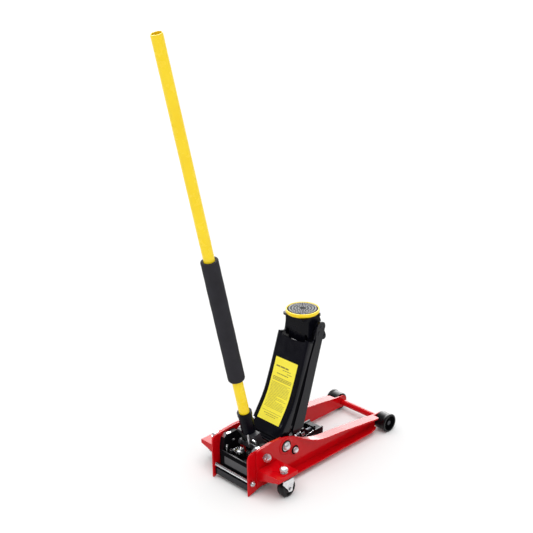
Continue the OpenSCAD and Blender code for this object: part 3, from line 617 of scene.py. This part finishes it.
def unit_fittings():
    """A stud and two bolt heads on the power unit, and a plate on each of its ears."""
    bright, plate = bmesh.new(), bmesh.new()
    stud = [[NEAR_AXIS, 0], [3.2, 0], [3.2, 38], [2.2, 39.5], [NEAR_AXIS, 39.5]]
    bolt = [[NEAR_AXIS, 0], [3.4, 0], [3.4, 34], [7, 34.5], [7.4, 36], [7.2, 41], [5, 43],
            [NEAR_AXIS, 43.4]]
    turned(bright, (41, 57, 78), UP, stud, 20)
    turned(bright, (76, 62.2, 120), (0, -1, 0), dome(5, 3), 24)
    turned(bright, (60, -50, 78), UP, bolt, 24)

    half, thick, ear = 7.5, 0.9, 71.5
    ear_low, ear_high = Vector((36, 0, 138)), Vector((48, 0, 149))
    slope = (ear_high - ear_low).normalized()
    for sign in SIDE.values():
        place = basis(at(43.5, sign * ear, 146.2), (-slope.z, 0, slope.x), (0, 1, 0))
        prism(plate, place, [[-half, -8], [half, -8], [half, 8], [-half, 8]], 0, thick)
        place = basis(at(56, sign * ear, 149.2), UP, (0, 1, 0))
        prism(plate, place, [[-half, -11], [half, -11], [half, 4], [-half, 4]], 0, thick)
    finish_piece("unit_studs", bright, ZINC, "chassis")
    finish_piece("unit_plate", plate, ZINC, "chassis", False)


def yoke_bolt():
    """A bolt head on the left end of the yoke's top block, and a bright rod."""
    bm = bmesh.new()
    head = SOCKET + HANDLE_UP * -84 * MM + Vector((0, 39.6 * MM, 0))
    lathe(bm, basis(head, (0, 1, 0)), dome(8, 6), 28)
    tube(bm, [(64, -20, 174), (72, -20, 126)], 3.2, 16)
    finish_piece("yoke_bolt", bm, BRIGHT, "yoke")


def panel_frame():
    """Dark borders above, below and to the left of the rear panel's plain part."""
    bm = bmesh.new()
    for y0, y1, z0, z1 in ((-60, 60, 89, 104), (-60, 60, 56, 60), (47, 60, 60, 89)):
        box_mm(bm, 18.2, 19.4, y0, y1, z0, z1)
    finish_piece("panel_frame", bm, DULL_BLACK_AND_SHADE, "chassis", False)


def ram_fittings():
    """Gusset plates, a stud and a spring hook on the two bars that the ram pushes."""
    dark, bright = bmesh.new(), bmesh.new()
    gusset = [[298, 60], [298, 84], [303, 104], [312, 104], [350, 70], [356, 74], [405, 75],
              [405, 44], [352, 46], [340, 52]]
    coil_r, coil_length, coil_steps, turn = 6.5, 15, 60, 0.62
    hook = ((312, 71), (330, 74), (357, 78))
    for hand, sign in SIDE.items():
        side_plate(dark, gusset, hand, 27.6, 32.6)
        turned(dark, (366, sign * 30, 66), UP, pin(2.6, 26), 16)
        coil = [(298 + coil_length * k / coil_steps,
                 sign * (29 + coil_r * math.cos(k * turn)),
                 84 + coil_r * math.sin(k * turn)) for k in range(coil_steps + 1)]
        tube(bright, coil, 1.5, 8)
        tube(bright, [(x, sign * 34.5, z) for x, z in hook], 1.4, 8)
    finish_piece("ram_gussets", dark, BLACK, "ram", False)
    finish_piece("ram_springs", bright, ZINC, "ram")


frame_fittings()
king_caps()
groove_shadow()
arm_rivets()
bolt_sleeves()
unit_fittings()
yoke_bolt()
panel_frame()
ram_fittings()

# ---------------------------------------------------------- stage and camera


def floor():
    """A white paper floor, so large that its edge is out of sight in low views."""
    mesh = bpy.data.meshes.new("floor")
    half = 95            # metres
    mesh.from_pydata([(-half, -half, 0), (half, -half, 0), (half, half, 0), (-half, half, 0)],
                     [], [(0, 1, 2, 3)])
    obj = bpy.data.objects.new("floor", mesh)
    bpy.context.scene.collection.objects.link(obj)
    mat, tree, shader = new_material("floor_paper")
    tint(tree, shader, noise(tree, 3, 2), (0.86, 0.86, 0.86), (0.88, 0.88, 0.88), (0.2, 0.8))
    shader.inputs["Roughness"].default_value = 0.9
    shader.inputs["Specular IOR Level"].default_value = 0.1
    mesh.materials.append(mat)


def studio_world():
    """Even light for the floor, and for reflections a dim room with a bright end."""
    world = bpy.data.worlds.new("studio")
    bpy.context.scene.world = world
    world.use_nodes = True
    tree = world.node_tree
    tree.nodes.clear()
    coords = tree.nodes.new("ShaderNodeTexCoord")
    bright_end = Vector((0.64, 0.66, 0.38)).normalized()
    side = tree.nodes.new("ShaderNodeVectorMath")
    side.operation = "DOT_PRODUCT"
    side.inputs[1].default_value = bright_end
    tree.links.new(coords.outputs["Generated"], side.inputs[0])
    room = tree.nodes.new("ShaderNodeValToRGB")
    band = room.color_ramp
    band.elements[0].position = 0.0
    band.elements[0].color = (0.12, 0.12, 0.13, 1)
    band.elements[1].position = 0.62
    band.elements[1].color = (0.35, 0.35, 0.36, 1)
    for place, value in ((0.80, 1.6), (0.93, 7.5)):
        element = band.elements.new(place)
        element.color = (value, value, value, 1)
    tree.links.new(side.outputs["Value"], room.inputs["Fac"])
    reflected = tree.nodes.new("ShaderNodeBackground")
    tree.links.new(room.outputs["Color"], reflected.inputs["Color"])
    even = tree.nodes.new("ShaderNodeBackground")
    even.inputs["Color"].default_value = (1, 1, 1, 1)
    even.inputs["Strength"].default_value = 0.70
    path = tree.nodes.new("ShaderNodeLightPath")
    mix = tree.nodes.new("ShaderNodeMixShader")
    tree.links.new(path.outputs["Is Glossy Ray"], mix.inputs["Fac"])
    tree.links.new(even.outputs["Background"], mix.inputs[1])
    tree.links.new(reflected.outputs["Background"], mix.inputs[2])
    out = tree.nodes.new("ShaderNodeOutputWorld")
    tree.links.new(mix.outputs["Shader"], out.inputs["Surface"])


def studio_camera():
    """The camera stands behind the jack's right side and looks down at it."""
    yaw, pitch, roll = math.radians(46.135), math.radians(21.162), math.radians(-0.856)
    ahead = Vector((math.cos(pitch) * math.cos(yaw), math.cos(pitch) * math.sin(yaw),
                    -math.sin(pitch)))
    right = ahead.cross(Vector((0, 0, 1))).normalized()
    up = right.cross(ahead)
    tilted_right = right * math.cos(roll) + up * math.sin(roll)
    tilted_up = up * math.cos(roll) - right * math.sin(roll)
    turn = Matrix((tilted_right, tilted_up, -ahead)).transposed().to_4x4()
    data = bpy.data.cameras.new("camera")
    data.sensor_width = 36
    data.lens = 72.82
    data.clip_end = 100
    stand = at(-1995.6, -2261.4, 1933.7)
    camera = bpy.data.objects.new("camera", data)
    camera.matrix_world = Matrix.Translation(stand) @ turn
    bpy.context.scene.collection.objects.link(camera)
    bpy.context.scene.camera = camera


def top_light(strength, spread_deg):
    """A wide even light from above, a little behind the camera's left shoulder."""
    data = bpy.data.lights.new("top_light", "SUN")
    data.energy = strength
    data.angle = math.radians(spread_deg)
    obj = bpy.data.objects.new("top_light", data)
    obj.rotation_euler = Vector((0.18, 0.10, -1)).to_track_quat("-Z", "Y").to_euler()
    bpy.context.scene.collection.objects.link(obj)


floor()
studio_world()
top_light(1.7, 70)
studio_camera()
bpy.context.scene.view_settings.view_transform = "Standard"
